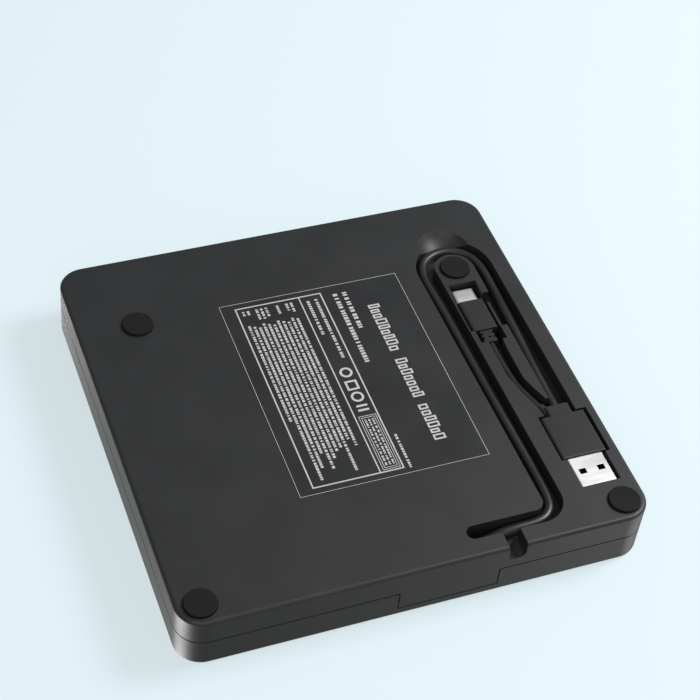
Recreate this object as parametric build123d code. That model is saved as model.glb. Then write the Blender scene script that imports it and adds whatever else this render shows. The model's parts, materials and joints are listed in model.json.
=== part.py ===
from build123d import *
from math import pi, radians, tan
import os

os.makedirs("parts", exist_ok=True)

# External optical drive: a slim tray drive in a two-shell housing that stores its own cord.
# Millimetres. The drive stands on its feet with +Z up. The tray leaves towards -Y, the rear
# wall with the cord outlet faces +Y, and the cord groove runs along the right side (+X) of
# the underside. The origin is under the middle of the housing, where it stands.

# ------------------------------------------------------------ driving dimensions: slim drive
drive_width = 128.0
drive_depth = 124.0
drive_height = 9.5
sheet = 0.6                      # steel of the drive's pan and cover
pan_wall = 5.6                   # height of the pan's side walls
disc_radius = 60.0
disc_thickness = 1.2
disc_hole_radius = 7.5
tray_travel = 128.0
tray_gap = 0.4                   # tray to pan and to cover
tray_side = 3.1                  # drive side to tray side
skirt_wall = 3.0
deck_wall = 1.2
rail_height = 1.7
rail_width = 2.8
rail_length = 110.0
rail_play = 0.15
guide_wall = 1.6
sled_travel = 33.0
sled_angle = -45.0               # the pick-up runs from the hub to the front right corner
sled_length = 17.0
sled_half = 13.3
lens_start = 24.0                # lens to hub axis, innermost track
rod_radius = 1.0
rod_spread = 10.5
screw_radius = 1.1
screw_offset = 17.2
run_fit = 0.05                   # radial clearance of running fits
snug = 0.02                      # radial clearance of pressed and screwed pieces
latch_swing = 10.0
pusher_travel = 10.0
button_travel = 0.5

# ------------------------------------------------------------ driving dimensions: housing
side_space = 10.0                # housing side to drive side
rear_bay = 17.2                  # housing rear to drive rear, where the bridge board lives
bezel_depth = 4.5
bezel_inset = 0.2
bezel_margin = 1.5               # bezel beyond the drive on each side
bezel_gap = 0.3
corner_radius = 8.5
edge_radius = 1.2
side_wall = 1.8
floor_wall = 1.6
lid_wall = 1.8
lid_gap = 0.6                    # drive to lid
pan_gap = 0.3                    # drive to the cord pockets under it
seam_gap = 0.4
lip_wall = 0.8
lip_depth = 1.2
lip_play = 0.1
tongue_left = -7.6               # rear tongue of the bottom shell
tongue_right = 23.8
tongue_height = 7.1
foot_radius = 4.9
foot_height = 1.0
foot_sink = 0.6
foot_play = 0.15
rib_wall = 1.2

# ------------------------------------------------------------ driving dimensions: cord store
# Distances are from the housing's right side and from its rear side.
cord_depth = 5.0
plug_depth = 6.4
pocket_wall = 1.2
cord_level = 3.2                 # cord axis below the underside
cord_radius = 1.6
tether_radius = 1.4
left_run = (31.4, 24.9)          # at the rear corner
left_run_lean = 1.3              # further from the right side at the post
right_run = (12.7, 6.3)
rear_run = (11.0, 6.2)
rear_run_end = 58.5
inner_bend = 3.5
outer_bend = 8.8
post_from_right = 19.55
post_from_rear = 113.3
post_radius = 6.8
turn_radius = 13.1
leg_end = 100.2
outlet = (48.0, 42.2)
outlet_depth = 5.7
outlet_round = 2.2
end_pocket_depth = 8.4            # where the cord dives towards its strain relief
scoop_radius = 11.0
scoop_depth = 4.5
usb_a_from_right = 11.2
usb_c_from_right = 20.0

# ------------------------------------------------------------ worked-out levels and places
case_width = drive_width + 2 * side_space
bezel_back = bezel_inset + bezel_depth + 0.1
case_depth = bezel_back + drive_depth + rear_bay
case_height = plug_depth + pocket_wall + pan_gap + drive_height + lid_gap + lid_wall
seam_height = plug_depth + pocket_wall + 1.5    # wall of the bottom shell above the underside
right = case_width / 2
rear = case_depth / 2
front = -rear
z_under = foot_height
z_floor = z_under + floor_wall
z_seam = z_under + seam_height
z_top = z_under + case_height
z_ceiling = z_top - lid_wall
z_pan = z_under + plug_depth + pocket_wall + pan_gap
z_drive_top = z_pan + drive_height
z_cord = z_under + cord_level
pan_front = front + bezel_back
pan_rear = pan_front + drive_depth
drive_side = drive_width / 2
z_tray = z_pan + sheet + tray_gap
z_tray_top = z_drive_top - sheet - tray_gap
z_disc = z_tray_top - 0.1 - disc_thickness
z_recess = z_disc - 0.7
z_deck = z_recess - deck_wall
tray_half = drive_side - tray_side
tray_rear = pan_rear - sheet - 2.2
disc_y = pan_front + 1.1 + disc_radius + 0.3
z_rail = z_tray + 1.2
z_guide = z_rail + rail_height + 1.0
bezel_half = drive_side + bezel_margin
z_bezel = z_pan - 0.4
z_bezel_top = z_ceiling - bezel_gap


def save(name, shape):
    export_step(shape, "parts/" + name + ".step")


def block(x, y, z):
    """Box between two corner values on each axis."""
    size = Box(x[1] - x[0], y[1] - y[0], z[1] - z[0], align=(Align.MIN, Align.MIN, Align.MIN))
    return Pos(x[0], y[0], z[0]) * size


def column(x, y, z, radius):
    rod = Cylinder(radius, z[1] - z[0], align=(Align.CENTER, Align.CENTER, Align.MIN))
    return Pos(x, y, z[0]) * rod


def rod_x(x, y, z, radius):
    rod = Cylinder(radius, x[1] - x[0], align=(Align.CENTER, Align.CENTER, Align.MIN))
    return Pos(x[0], y, z) * Rot(0, 90, 0) * rod


def rod_y(x, y, z, radius):
    rod = Cylinder(radius, y[1] - y[0], align=(Align.CENTER, Align.CENTER, Align.MIN))
    return Pos(x, y[0], z) * Rot(-90, 0, 0) * rod


def plate(outline, z):
    return extrude(Pos(0, 0, z[0]) * outline, z[1] - z[0])


def area(x, y):
    return Pos((x[0] + x[1]) / 2, (y[0] + y[1]) / 2) * Rectangle(x[1] - x[0], y[1] - y[0])


def round_near(shape, spots, radius):
    """Round a flat outline's corners nearest to the given spots."""
    for x, y in spots:
        corner = shape.vertices().sort_by_distance((x, y, 0))[0]
        shape = fillet(corner, radius)
    return shape


def from_right(pair, grow=0.0):
    return (right - pair[0] - grow, right - pair[1] + grow)


def from_rear(pair, grow=0.0):
    return (rear - pair[0] - grow, rear - pair[1] + grow)


def mirror_x(shape):
    return mirror(shape, about=Plane.YZ)


def on_sled_axis(shape):
    """Place a shape drawn with +X along the pick-up's travel and the hub at the origin."""
    return Pos(0, disc_y, 0) * Rot(0, 0, sled_angle) * shape


def case_plan(inset=0.0):
    return RectangleRounded(case_width - 2 * inset, case_depth - 2 * inset, corner_radius - inset)


# ------------------------------------------------------------ feet and screw places
rear_foot_x = right - 7.5
rear_foot_y = rear - 7.0
post_x = right - post_from_right
post_y = rear - post_from_rear
front_foot_x = -post_x
foot_places = {
    "foot_front_left": (front_foot_x, post_y - 2.6),
    "foot_front_right": (post_x, post_y),
    "foot_rear_left": (-rear_foot_x, rear_foot_y),
    "foot_rear_right": (rear_foot_x, rear_foot_y),
}
case_screw_radius = 1.2
case_boss_radius = 3.6
bracket_x = drive_side - 7.0
bracket_post_y = rear - 10.0
z_bracket = z_pan + 0.3
board_posts = ((-33.0, rear - 6.0), (-11.0, rear - 6.0))
z_board = z_seam - 0.1
small_screw_radius = 0.9


# ------------------------------------------------------------ cord store outlines
def turn_outline(grow):
    ring = Circle(turn_radius + grow) - Circle(post_radius - grow)
    half = area((-40, 40), (-40, 0))
    return Pos(post_x, post_y) * (ring & half)


def run_outline(grow):
    """Left run, bend and rear run of the cord groove."""
    x0, x1 = from_right(left_run, grow)
    y0, y1 = from_rear(rear_run, grow)
    end = right - rear_run_end - grow
    lean = left_run_lean
    shape = Polygon((end, y0), (x0, y0), (x0 - lean, post_y), (x1 - lean, post_y), (x1, y1),
                    (end, y1), align=None)
    shape = round_near(shape, [(x1, y1)], outer_bend + grow)
    shape = round_near(shape, [(x0, y0)], max(inner_bend - grow, 0.5))
    return round_near(shape, [(end, y0), (end, y1)], (y1 - y0) / 2 - 0.05)


def right_outline(grow):
    return area(from_right(right_run, grow), (post_y, rear - 44.6 + grow))


def tether_outline(grow):
    """Channel from the small plug's strain relief round to the neck of the large plug."""
    left = [(21.7, 79.2), (21.7, 64.0), (20.1, 56.2), (17.9, 49.2), (17.1, 44.6)]
    right_side = [(12.0, 44.6), (12.0, 51.3), (13.7, 51.3), (15.3, 55.6), (17.0, 61.2),
                  (17.0, 74.0), (16.6, 79.2)]
    corners = [(right - a - grow, rear - b) for a, b in left]
    corners += [(right - a + grow, rear - b) for a, b in right_side]
    shape = Polygon(*reversed(corners), align=None)
    for spot in (1, 2, 3, 8, 9, 10):
        shape = round_near(shape, [corners[spot]], 7.0)
    return shape


def plug_outline(grow):
    """Pockets of the two plugs, deeper than the cord groove."""
    small_nose = area(from_right((24.8, 15.1), grow), from_rear((106.3, leg_end - 1), grow))
    small_body = area(from_right((25.4, 12.7), grow), from_rear((leg_end, 84.6), grow))
    small_relief = area(from_right((24.0, 15.0), grow), from_rear((85.0, 79.1), grow))
    neck = area(from_right((17.0, right_run[1]), grow), from_rear((51.3, 44.0), grow))
    large_body = area(from_right((19.4, 2.9), grow), from_rear((44.6, 26.4), grow))
    large_nose = area(from_right((17.7, 4.6), grow), from_rear((26.6, 15.2), grow))
    return small_nose + small_body + small_relief + neck + large_body + large_nose


def end_outline(grow):
    """Deepest pocket, at the end of the rear run."""
    x0, x1 = from_right((rear_run_end, 45.4), grow)
    y0, y1 = from_rear(rear_run, grow)
    return round_near(area((x0, x1), (y0, y1)), [(x0, y0), (x0, y1)], (y1 - y0) / 2 - 0.05)


def cord_outline(grow):
    return turn_outline(grow) + run_outline(grow) + right_outline(grow) + tether_outline(grow)


def scoop(grow):
    """Finger dish beyond the U-turn, where the cord is lifted out."""
    centre = scoop_radius - scoop_depth
    ball = Pos(post_x, post_y - 9.7, z_under - centre) * Sphere(scoop_radius + grow)
    keep = column(post_x, post_y, (z_under - 2, z_under + 12), turn_radius - 0.4)
    behind = block((post_x - 30, post_x + 30), (post_y - 6, post_y + 30), (-20, z_under + 12))
    return ball - keep - behind


def cord_store_body(plan):
    """Walls and floors of the groove and pockets, inside the bottom shell."""
    groove = plate(cord_outline(pocket_wall), (z_under, z_under + cord_depth + pocket_wall))
    pockets = plate(plug_outline(pocket_wall), (z_under, z_under + plug_depth + pocket_wall))
    pockets += plate(end_outline(pocket_wall), (z_under, z_under + end_pocket_depth + pocket_wall))
    shelf = scoop(pocket_wall) & block((0, right), (front, 0), (z_under, z_under + cord_depth))
    way_out = block(from_right(outlet, pocket_wall), (rear - rear_run[1], rear - 1),
                    (z_under, z_under + outlet_depth + pocket_wall))
    low = plate(case_plan(side_wall / 2), (z_under, z_under + end_pocket_depth + pocket_wall))
    return (groove + pockets + shelf + way_out) & (plan + low)


def cord_store_cut():
    below = z_under - 1
    groove = plate(cord_outline(0), (below, z_under + cord_depth))
    pockets = plate(plug_outline(0), (below, z_under + plug_depth))
    pockets += plate(end_outline(0), (below, z_under + end_pocket_depth))
    way_out = block(from_right(outlet), (rear - rear_run[1] - 1, rear + 1),
                    (below, z_under + outlet_depth))
    along = way_out.edges().filter_by(Axis.Y).sort_by(Axis.Z)[-2:].sort_by(Axis.X)
    way_out = fillet(along[1], outlet_round)
    return groove + pockets + scoop(0) + way_out


def plug_rib():
    """Thin rib that keeps the small plug clear of the right run."""
    return block(from_right((14.9, 14.1)), from_rear((96.0, 84.0)),
                 (z_under + 0.6, z_under + plug_depth + 0.2))


# ------------------------------------------------------------ housing shells
def screw_boss(x, y, z, radius, hole):
    return column(x, y, z, radius) - column(x, y, (z[0] - 1, z[1] + 1), hole)


def front_opening():
    return block((-bezel_half - bezel_gap, bezel_half + bezel_gap), (front - 1, pan_front),
                 (z_bezel - bezel_gap, z_ceiling))


def bottom_shell():
    plan = plate(case_plan(), (z_under, z_seam))
    skin = fillet(plan.faces().sort_by(Axis.Z)[0].edges(), edge_radius)
    inner = plate(case_plan(side_wall), (z_floor, z_seam + 1))
    shell = skin - inner
    shell += cord_store_body(skin)
    for x in (-58.0, -20.0, 18.0):
        shell += block((x, x + rib_wall), (pan_front + 6, pan_rear - 6), (z_floor - 0.2, z_pan))
    for side in (-1, 1):
        shell += column(side * rear_foot_x, rear_foot_y, (z_under + 0.5, z_seam - 0.6), case_boss_radius)
        shell += column(side * bracket_x, bracket_post_y, (z_floor - 0.2, z_bracket), 2.6)
    for x, y in board_posts:
        shell += column(x, y, (z_floor - 0.2, z_board), 2.4)
    tongue = (tongue_left, tongue_right)
    shell += block(tongue, (rear - side_wall, rear), (z_seam - 1, z_seam + tongue_height))
    shell -= cord_store_cut()
    shell += plug_rib()
    shell -= front_opening()
    for x, y in foot_places.values():
        shell -= column(x, y, (z_under - 1, z_under + foot_sink), foot_radius + foot_play)
    for side in (-1, 1):
        x = side * rear_foot_x
        shell -= column(x, rear_foot_y, (z_under, z_under + 3.6), 2.5)
        shell -= column(x, rear_foot_y, (z_under, z_seam), case_screw_radius + 0.2)
        shell -= column(side * bracket_x, bracket_post_y, (z_floor + 1, z_seam),
                        small_screw_radius + snug)
    for x, y in board_posts:
        shell -= column(x, y, (z_floor + 1, z_seam), small_screw_radius + snug)
    x0, y0, z0 = cord_route[0]
    end = right - rear_run_end
    return shell - rod_x((end - 4, end + 1.5), y0, z0, relief_radius + snug)


def top_cover():
    bottom = z_seam + seam_gap
    whole = plate(case_plan(), (bottom, z_top))
    skin = fillet(whole.faces().sort_by(Axis.Z)[-1].edges(), edge_radius)
    cover = skin - plate(case_plan(side_wall), (bottom - 1, z_ceiling))
    lip = case_plan(side_wall + lip_play) - case_plan(side_wall + lip_play + lip_wall)
    cover += plate(lip, (z_seam - lip_depth, bottom))
    tie = case_plan(side_wall - 0.2) - case_plan(side_wall + lip_play + lip_wall)
    cover += plate(tie, (bottom, bottom + 1.5))
    for side in (-1, 1):
        cover += screw_boss(side * rear_foot_x, rear_foot_y, (z_seam - 0.5, z_ceiling + 0.2),
                            3.2, case_screw_radius + snug)
    cover -= front_opening()
    gap = seam_gap
    cover -= block((tongue_left - gap, tongue_right + gap), (rear - side_wall - 0.05, rear + 1),
                   (z_seam - 2, z_seam + tongue_height + gap))
    for side in (-1, 1):
        cover -= column(side * rear_foot_x, rear_foot_y, (z_seam - lip_depth - 1, z_seam - 0.55),
                        case_boss_radius + 0.8)
    return cover


def foot(x, y):
    pad = column(x, y, (0, z_under + foot_sink), foot_radius)
    return fillet(pad.faces().sort_by(Axis.Z)[0].edges(), 0.35)


def pan_head_screw(x, y, head_z, tip_z, radius, head_radius, head_height):
    """Vertical screw; its head lies on head_z, away from the tip."""
    up = 1 if head_z > tip_z else -1
    ends = sorted((head_z, tip_z))
    head = sorted((head_z, head_z + up * head_height))
    drive = sorted((head_z + up * (head_height - 0.5), head_z + up * (head_height + 1)))
    cross = block((x - 1.1, x + 1.1), (y - 0.2, y + 0.2), drive)
    cross += block((x - 0.2, x + 0.2), (y - 1.1, y + 1.1), drive)
    return column(x, y, ends, radius) + column(x, y, head, head_radius) - cross


def case_screws():
    seat = z_under + 3.6
    made = []
    for side in (-1, 1):
        x = side * rear_foot_x
        made.append(pan_head_screw(x, rear_foot_y, seat, z_ceiling - 2, case_screw_radius, 2.3, 1.3))
    return Compound(children=made)


def label():
    """Rating label on the underside."""
    across = (-27.2, 34.0)
    along = (rear - 116.4, rear - 34.9)
    return block(across, along, (z_under - 0.12, z_under))


# ------------------------------------------------------------ cord, tether and plugs
# The routes are chosen by hand: out of the relief, along the rear run, up the left run,
# round the post and down the right run into the large plug. z_cord is the level of both.
cord_route = [
    (17.0, 64.7, 7.2), (20.5, 64.7, 7.2), (27.5, 64.6, 4.2), (39.4, 64.3, 4.2), (43.5, 62.2, 4.2),
    (45.7, 58.2, 4.2), (45.9, 46.0, 4.2), (45.2, 20.0, 4.2), (44.8, -6.0, 4.2),
    (44.6, -27.0, 4.2), (43.6, -45.0, 4.2), (49.9, -51.5, 4.2), (58.9, -51.5, 4.2),
    (65.2, -45.1, 4.2), (64.9, -27.0, 4.2), (63.9, -4.0, 4.2), (63.1, 12.0, 4.2),
    (63.1, 24.4, 4.2),
]
tether_route = [
    (54.0, -6.8, 4.2), (54.0, 0.5, 4.2), (54.4, 8.0, 4.2), (55.5, 14.6, 4.2), (58.3, 22.8, 4.2),
]
relief_radius = 2.15


def bend_radii(route):
    """Largest arc that the two runs at each corner leave room for."""
    radii = []
    for before, here, after in zip(route, route[1:], route[2:]):
        run_in = Vector(*here) - Vector(*before)
        run_out = Vector(*after) - Vector(*here)
        turn = radians(run_in.get_angle(run_out))
        radii.append(0.45 * min(run_in.length, run_out.length) / tan(turn / 2))
    return radii


def tube(route, radius, title):
    """Cord along a route of straight runs joined by tangent arcs."""
    radii = bend_radii(route)
    path = FilletPolyline(*route, radius=radii)
    start = Plane(origin=path @ 0, z_dir=path % 0)
    solid = sweep(start * Circle(radius), path=path)
    share = solid.volume / (pi * radius ** 2 * path.length)
    print(title, "length", round(path.length, 1), "volume over section x length", round(share, 4))
    print(title, "radii", [round(r, 1) for r in radii])
    return solid


def cord_relief():
    """Strain relief in the end wall of the rear run, with a flange inside the housing."""
    x0, y0, z0 = cord_route[0]
    end = right - rear_run_end
    inside = end - pocket_wall
    nose = rod_x((inside, x0), y0, z0, relief_radius)
    flange = block((inside - 1.4, inside), (y0 - 3, y0 + 3), (z0 - 3, z0 + 3))
    ring = rod_x((x0 - 1.05, x0 - 0.7), y0, z0, 3) - rod_x((0, x0), y0, z0, 1.85)
    return nose + flange - ring


def inner_leads():
    """Four wires from the strain relief up to the header on the bridge board."""
    x0, y0, z0 = cord_route[0]
    start = right - rear_run_end - pocket_wall - 1.4
    rise = start - 3.2
    wires = []
    top = z_board + 2.6
    for k in range(4):
        y = y0 - 1.5 + k
        route = [(start, y, z0), (rise, y, z0), (rise, y, top), (header_x[1], y, top)]
        path = FilletPolyline(*route, radius=[1.4, 1.2])
        wires.append(sweep(Plane(origin=path @ 0, z_dir=path % 0) * Circle(0.38), path=path))
    return Compound(children=wires)


usb_a_x = right - usb_a_from_right
usb_a_width = 12.0
usb_a_height = 4.5
usb_a_skin = 0.3
usb_a_back = rear - 27.4
usb_a_tip = rear - 15.7
usb_c_x = right - usb_c_from_right
usb_c_width = 8.25
usb_c_height = 2.4
usb_c_back = rear - 98.3
usb_c_tip = usb_c_back - 6.65


def usb_a_overmould():
    half = 7.6
    thick = 3.0
    body_y = (rear - 44.0, usb_a_back + 0.4)
    body = block((usb_a_x - half, usb_a_x + half), body_y, (z_cord - thick, z_cord + thick))
    body = fillet(body.edges().filter_by(Axis.Y), 0.9)
    body = fillet(body.faces().sort_by(Axis.Y)[-1].edges(), 0.5)
    x1, y1, z1 = cord_route[-1]
    neck = block((x1 - 4.4, x1 + 3.9), (y1, body_y[0] + 0.1), (z_cord - 2.4, z_cord + 2.4))
    neck = fillet(neck.edges().filter_by(Axis.Y), 0.8)
    a, b = tether_route[-2], tether_route[-1]
    run = Vector(b[0] - a[0], b[1] - a[1], 0).normalized()
    stub = Cylinder(1.9, 6.0, align=(Align.CENTER, Align.CENTER, Align.MIN))
    sleeve = Plane(origin=b, z_dir=run) * stub
    socket = block((usb_a_x - usb_a_width / 2 - snug, usb_a_x + usb_a_width / 2 + snug),
                   (usb_a_back - 4.0, usb_a_back + 1),
                   (z_cord - usb_a_height / 2 - snug, z_cord + usb_a_height / 2 + snug))
    return body + neck + sleeve - socket


def usb_a_shell():
    half, tall = usb_a_width / 2, usb_a_height / 2
    y = (usb_a_back - 4.0, usb_a_tip)
    tube_out = block((usb_a_x - half, usb_a_x + half), y, (z_cord - tall, z_cord + tall))
    tube_out = fillet(tube_out.edges().filter_by(Axis.Y), 0.5)
    s = usb_a_skin
    tube_in = block((usb_a_x - half + s, usb_a_x + half - s), (y[0] - 1, y[1] + 1),
                    (z_cord - tall + s, z_cord + tall - s))
    shell = tube_out - tube_in
    for side in (-1, 1):
        x = usb_a_x + side * 3.1
        hole_y = rear - 21.6
        shell -= block((x - 1.15, x + 1.15), (hole_y - 1.0, hole_y + 1.0), (z_cord - 6, z_cord + 6))
    return shell


def usb_a_tongue():
    half = usb_a_width / 2 - usb_a_skin - 0.05
    top = z_cord + usb_a_height / 2 - usb_a_skin - 0.05
    tongue = block((usb_a_x - half, usb_a_x + half), (usb_a_back - 3.9, usb_a_tip - 0.6),
                   (top - 1.8, top))
    stop = block((usb_a_x - half, usb_a_x + half), (usb_a_back - 3.9, usb_a_back - 0.5),
                 (z_cord - usb_a_height / 2 + usb_a_skin + 0.05, top))
    return tongue + stop


def usb_c_overmould():
    half = 4.6
    thick = 2.8
    body = block((usb_c_x - half, usb_c_x + half), (usb_c_back, rear - 84.9),
                 (z_cord - thick, z_cord + thick))
    body = fillet(body.edges().filter_by(Axis.Y), 1.2)
    tail = block((usb_c_x - 2.5, usb_c_x + 2.5), (rear - 85.0, tether_route[0][1]),
                 (z_cord - 2.0, z_cord + 2.0))
    tail = fillet(tail.edges().filter_by(Axis.Y), 0.7)
    for k in range(2):
        y = rear - 83.9 + 1.7 * k
        for side in (-1, 1):
            x = sorted((usb_c_x + side * 1.5, usb_c_x + side * 3))
            tail -= block(x, (y, y + 0.7), (z_cord - 3, z_cord + 3))
    tail -= column(usb_c_x + 0.3, rear - 82.0, (z_cord - 3, z_cord - 1.2), 0.45)
    socket = block((usb_c_x - usb_c_width / 2 - snug, usb_c_x + usb_c_width / 2 + snug),
                   (usb_c_back - 1, usb_c_back + 3.0),
                   (z_cord - usb_c_height / 2 - snug, z_cord + usb_c_height / 2 + snug))
    return body + tail - socket


def usb_c_shell():
    y = (usb_c_tip, usb_c_back + 3.0)
    outer = SlotOverall(usb_c_width, usb_c_height)
    inner = SlotOverall(usb_c_width - 0.6, usb_c_height - 0.6)
    back = Plane(origin=(usb_c_x, y[1], z_cord), x_dir=(1, 0, 0), z_dir=(0, -1, 0))
    tube_out = extrude(back * outer, y[1] - y[0])
    return tube_out - extrude(back * inner, y[1] - y[0])


def usb_c_tongue():
    half = usb_c_width / 2 - 1.25
    y = (usb_c_tip + 4.6, usb_c_back + 2.9)
    return block((usb_c_x - half, usb_c_x + half), y, (z_cord - 0.85, z_cord + 0.85))


# ------------------------------------------------------------ slim drive: fixed pieces
def drive_pan():
    """Steel pan of the slim drive, open at the front."""
    box = block((-drive_side, drive_side), (pan_front, pan_rear), (z_pan, z_pan + pan_wall))
    hollow = block((-drive_side + sheet, drive_side - sheet), (pan_front - 1, pan_rear - sheet),
                   (z_pan + sheet, z_pan + pan_wall + 1))
    pan = box - hollow
    for side in (-1, 1):
        for y in (pan_front + 14, pan_rear - 20):
            x = sorted((side * (drive_side - sheet - 0.02), side * (drive_side - 2 * sheet - 0.02)))
            ear = block(x, (y, y + 8), (z_guide + 0.1, z_drive_top - 1.2))
            x_tie = sorted((side * (drive_side - sheet - 0.1), side * (drive_side - sheet + 0.1)))
            tie = block(x_tie, (y, y + 8), (z_guide + 0.1, z_pan + pan_wall))
            hole = rod_x((side * drive_side - 3, side * drive_side + 3), y + 4, z_ear_screw, 0.8 + snug)
            pan += ear + tie - hole
    for x in (-40.0, 46.0):
        pan -= column(x, pan_front + 60, (z_pan - 1, z_pan + 1), 5.0)
    pan -= block(sata_x, (pan_rear - 2, pan_rear + 1), (z_pan + 1.4, z_pan + pan_wall + 1))
    for side in (-1, 1):
        pan -= rod_y(side * bracket_x, (pan_rear - 2, pan_rear + 1), z_bracket + 2.8, 0.8 + snug)
    return pan + column(*latch_post, (z_pan + 0.2, z_pan + sheet + 3.1), 1.0)


def drive_cover():
    """Steel cover of the slim drive; its skirt stands on the pan's wall."""
    z0 = z_pan + pan_wall + 0.02
    box = block((-drive_side, drive_side), (pan_front, pan_rear), (z0, z_drive_top))
    hollow = block((-drive_side + sheet, drive_side - sheet), (pan_front - 1, pan_rear - sheet),
                   (z0 - 1, z_drive_top - sheet))
    cover = box - hollow
    for side in (-1, 1):
        for y in (pan_front + 18, pan_rear - 16):
            cover -= rod_x((side * drive_side - 3, side * drive_side + 3), y, z_ear_screw, 0.8 + snug)
    emboss = RectangleRounded(84, 84, 10) - RectangleRounded(81, 81, 8.5)
    cover -= plate(Pos(0, disc_y) * emboss, (z_drive_top - 0.15, z_drive_top + 1))
    return cover - block(sata_x, (pan_rear - 2, pan_rear + 1), (z0 - 1, z_pan + 6.6))


def cover_screws():
    made = []
    for side in (-1, 1):
        for y in (pan_front + 18, pan_rear - 16):
            inner = side * (drive_side - 2 * sheet - 0.1)
            outer = side * (drive_side + 0.02)
            shank = rod_x(sorted((inner, outer)), y, z_ear_screw, 0.8)
            head = rod_x(sorted((outer, outer + side * 0.7)), y, z_ear_screw, 1.6)
            made.append(shank + head)
    return Compound(children=made)


def rail_guide(side):
    """Plastic channel on the pan's side that carries the telescoping rail."""
    outer = drive_side - sheet - 0.05
    x = (outer - guide_wall, outer)
    y = (pan_front + 4, pan_rear - 4)
    guide = block(x, y, (z_pan + sheet + 0.02, z_guide))
    slot = block((x[0] - 1, x[0] + 1.0), (y[0] - 1, y[1] - 2),
                 (z_rail - rail_play, z_rail + rail_height + rail_play))
    guide -= slot
    return guide if side > 0 else mirror_x(guide)


def slide_rail(side):
    """Steel rail; half of its width runs in the guide and half in the tray."""
    outer = drive_side - sheet - 0.05 - guide_wall + 1.0 - 0.2
    rail = block((outer - rail_width, outer), (pan_front + 4.4, pan_front + 4.4 + rail_length),
                 (z_rail, z_rail + rail_height))
    rail = chamfer(rail.edges().filter_by(Axis.Z), 0.6)
    return rail if side > 0 else mirror_x(rail)


def main_board():
    z = z_pan + sheet
    board = block((-38, 57), (disc_y + 30, pan_rear - sheet - 0.3), (z + 0.6, z + 1.4))
    for x, y in ((-30, disc_y + 34), (50, disc_y + 34), (50, pan_rear - 6)):
        board -= column(x, y, (z_pan, z_pan + 4), 1.2)
    return board


def main_board_chips():
    """Servo controller, memory and motor driver, and the flex socket."""
    z = z_pan + sheet + 1.4
    chips = [block((4, 18), (disc_y + 36, disc_y + 50), (z, z + 1.0)),
             block((-14, -4), (disc_y + 38, disc_y + 44), (z, z + 0.9)),
             block((30, 38), (disc_y + 42, disc_y + 50), (z, z + 0.9)),
             block((19, 37), (disc_y + 30.6, disc_y + 33.6), (z, z + 1.0))]
    return Compound(children=chips)


def tray_flex():
    """Fixed run of the flat cable that feeds the tray, flat on the pan."""
    return block((20, 36), (disc_y - 24, disc_y + 30.4), (z_pan + sheet, z_pan + sheet + 0.12))


def sata_socket():
    z = z_pan + sheet + 1.4
    body = block((sata_x[0] + 0.3, sata_x[1] - 0.3), (tray_rear + 0.5, pan_rear + 0.6), (z, z + 4.0))
    return body - block((sata_x[0] + 1.5, sata_x[1] - 1.5), (pan_rear - 1, pan_rear + 1),
                        (z + 1.2, z + 2.8))


def eject_pusher():
    """Sprung pusher that starts the tray moving."""
    body = block((-54, -46), (pusher_y, pusher_y + 3.0), (z_tray, z_tray + 2.2))
    return body + rod_y(-50, (pusher_y + 3.0, pusher_y + 5.4), z_tray + 1.1, 0.55)


def eject_spring():
    """Coil spring between the pusher and the pan's rear wall, drawn compressed."""
    length = pan_rear - sheet - 0.3 - (pusher_y + 3.05)
    coil_length = length - 0.5
    coil = Helix(pitch=0.95, height=coil_length, radius=1.0)
    wire = sweep(Plane(origin=coil @ 0, z_dir=coil % 0) * Circle(0.16), path=coil)
    return Pos(-50, pusher_y + 3.05 + 0.25, z_tray + 1.1) * Rot(-90, 0, 0) * wire


def drive_brackets():
    made = []
    for side in (-1, 1):
        x = (side * bracket_x - 5, side * bracket_x + 5)
        upright = block(x, (pan_rear + 0.02, pan_rear + 0.82), (z_bracket, z_bracket + 5.0))
        flat = block(x, (pan_rear + 0.02, bracket_post_y + 3.2), (z_bracket, z_bracket + 0.8))
        upright -= rod_y(side * bracket_x, (pan_rear - 1, pan_rear + 2), z_bracket + 2.8, 0.8 + snug)
        flat -= column(side * bracket_x, bracket_post_y, (z_pan, z_pan + 5), small_screw_radius + snug)
        made.append(upright + flat)
    return Compound(children=made)


# ------------------------------------------------------------ bridge board in the rear bay
sata_x = (-34.0, -1.0)
header_x = (-1.5, 5.2)
z_ear_screw = z_pan + pan_wall + 1.4
latch_post = (-40.0, pan_front + 8.0)
pusher_y = pan_rear - 12.8


def bridge_board():
    board = block((-37, 6.5), (pan_rear + 2.2, rear - side_wall - 1.4), (z_board + 0.02, z_board + 1.2))
    for x, y in board_posts:
        board -= column(x, y, (z_board - 1, z_board + 3), small_screw_radius + 0.1)
    return board


def bay_screws():
    """The rear bay's small screws: bridge board, bracket feet and bracket uprights."""
    made = [pan_head_screw(x, y, z_board + 1.22, z_floor + 2, small_screw_radius, 1.8, 1.1)
            for x, y in board_posts]
    for side in (-1, 1):
        x = side * bracket_x
        made.append(pan_head_screw(x, bracket_post_y, z_bracket + 0.82, z_floor + 2,
                                   small_screw_radius, 1.8, 1.1))
        shank = rod_y(x, (pan_rear - sheet - 0.4, pan_rear + 0.84), z_bracket + 2.8, 0.8)
        made.append(shank + rod_y(x, (pan_rear + 0.84, pan_rear + 1.5), z_bracket + 2.8, 1.6))
    return Compound(children=made)


def sata_plug():
    z = z_pan + sheet + 1.4
    low = z_board + 1.22
    body = block((sata_x[0] + 0.3, sata_x[1] - 1.0), (pan_rear + 0.7, pan_rear + 5.6), (low, z + 4.0))
    blade = block((sata_x[0] + 2.0, sata_x[1] - 2.0), (pan_rear - 0.8, pan_rear + 1.0),
                  (z + 1.5, z + 2.5))
    return body + blade


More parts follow.
